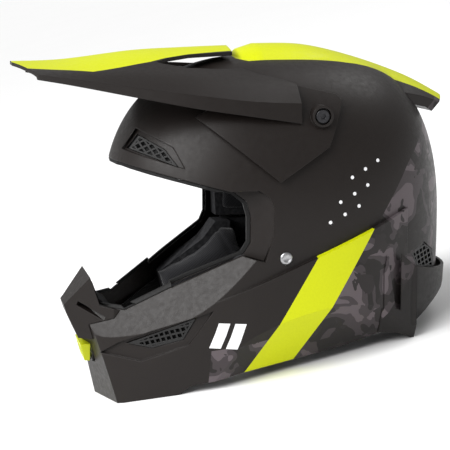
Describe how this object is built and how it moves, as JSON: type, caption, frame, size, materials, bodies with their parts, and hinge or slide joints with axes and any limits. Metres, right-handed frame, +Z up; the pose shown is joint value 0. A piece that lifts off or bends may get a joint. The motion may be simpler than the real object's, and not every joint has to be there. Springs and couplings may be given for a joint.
{
  "type": "motocross helmet",
  "caption": "Full-face off-road helmet with a long tilting peak, open eyeport, vented chin bar, rear spoiler and padded liner with a quick-release chin strap.",
  "frame": {"origin": "centre of the bounding box at table height, the helmet standing on its chin and rear spoiler", "axes": "the helmet faces -Y, the wearer's left is +X, +Z is up; it is tipped back 13 degrees from the way it is worn"},
  "size_m": [0.258, 0.3718, 0.3015],
  "materials": {
    "shell_black": "matte lacquered ABS",
    "foam_grey": "expanded polystyrene bead foam",
    "liner_fabric": "brushed moisture-wicking knit",
    "rubber_black": "matte extruded rubber",
    "visor_yellow": "satin, fluorescent yellow over black",
    "trim_black": "fine textured",
    "insert_yellow": "satin",
    "mesh_black": "moulded mesh",
    "webbing_black": "woven polyester webbing",
    "buckle_black": "moulded nylon",
    "lever_red": "moulded nylon",
    "steel": "brushed",
    "screw_dark": "anodised"
  },
  "bodies": {
    "helmet": {"outer_shell": "shell_black", "eps_liner": "foam_grey", "chin_foam": "foam_grey", "crown_liner": "liner_fabric", "neck_roll": "liner_fabric", "eyeport_trim": "rubber_black", "base_trim": "rubber_black", "chin_cover": "trim_black", "mouth_vent_insert": "insert_yellow", "mouth_vent_mesh": "mesh_black", "rear_spoiler": "trim_black", "chin_strap_left": "webbing_black", "chin_strap_right": "webbing_black", "buckle_housing": "buckle_black", "lever_pin": "steel", "ladder_tongue": "trim_black", "cheek_core_left": "foam_grey", "cheek_core_right": "foam_grey", "cheek_pad_left": "liner_fabric", "cheek_pad_right": "liner_fabric", "brow_vent_mesh_left": "mesh_black", "brow_vent_mesh_right": "mesh_black", "jaw_vent_mesh_left": "mesh_black", "jaw_vent_mesh_right": "mesh_black", "rear_vent_mesh_left": "mesh_black", "rear_vent_mesh_right": "mesh_black", "strap_pad_left": "liner_fabric", "strap_pad_right": "liner_fabric", "visor_screws": "screw_dark", "strap_rivets": "steel", "strap_anchors": "steel", "spoiler_screws": "screw_dark", "cheek_snaps": "trim_black"},
    "peak": {"visor": "visor_yellow"},
    "lever": {"buckle_lever": "lever_red"}
  },
  "joints": [
    {"name": "peak_tilt", "type": "hinge", "parent": "helmet", "child": "peak", "pos_m": [0, 0.0536, 0.2036], "axis": [-1, 0, 0], "range_deg": [0, 8]},
    {"name": "buckle_release", "type": "hinge", "parent": "helmet", "child": "lever", "pos_m": [0.0555, -0.05119, 0.01404], "axis": [0, -0.8746, 0.4848], "range_deg": [0, 20], "stiffness_Nm_per_rad": 0.05, "springref_deg": -20.05}
  ]
}
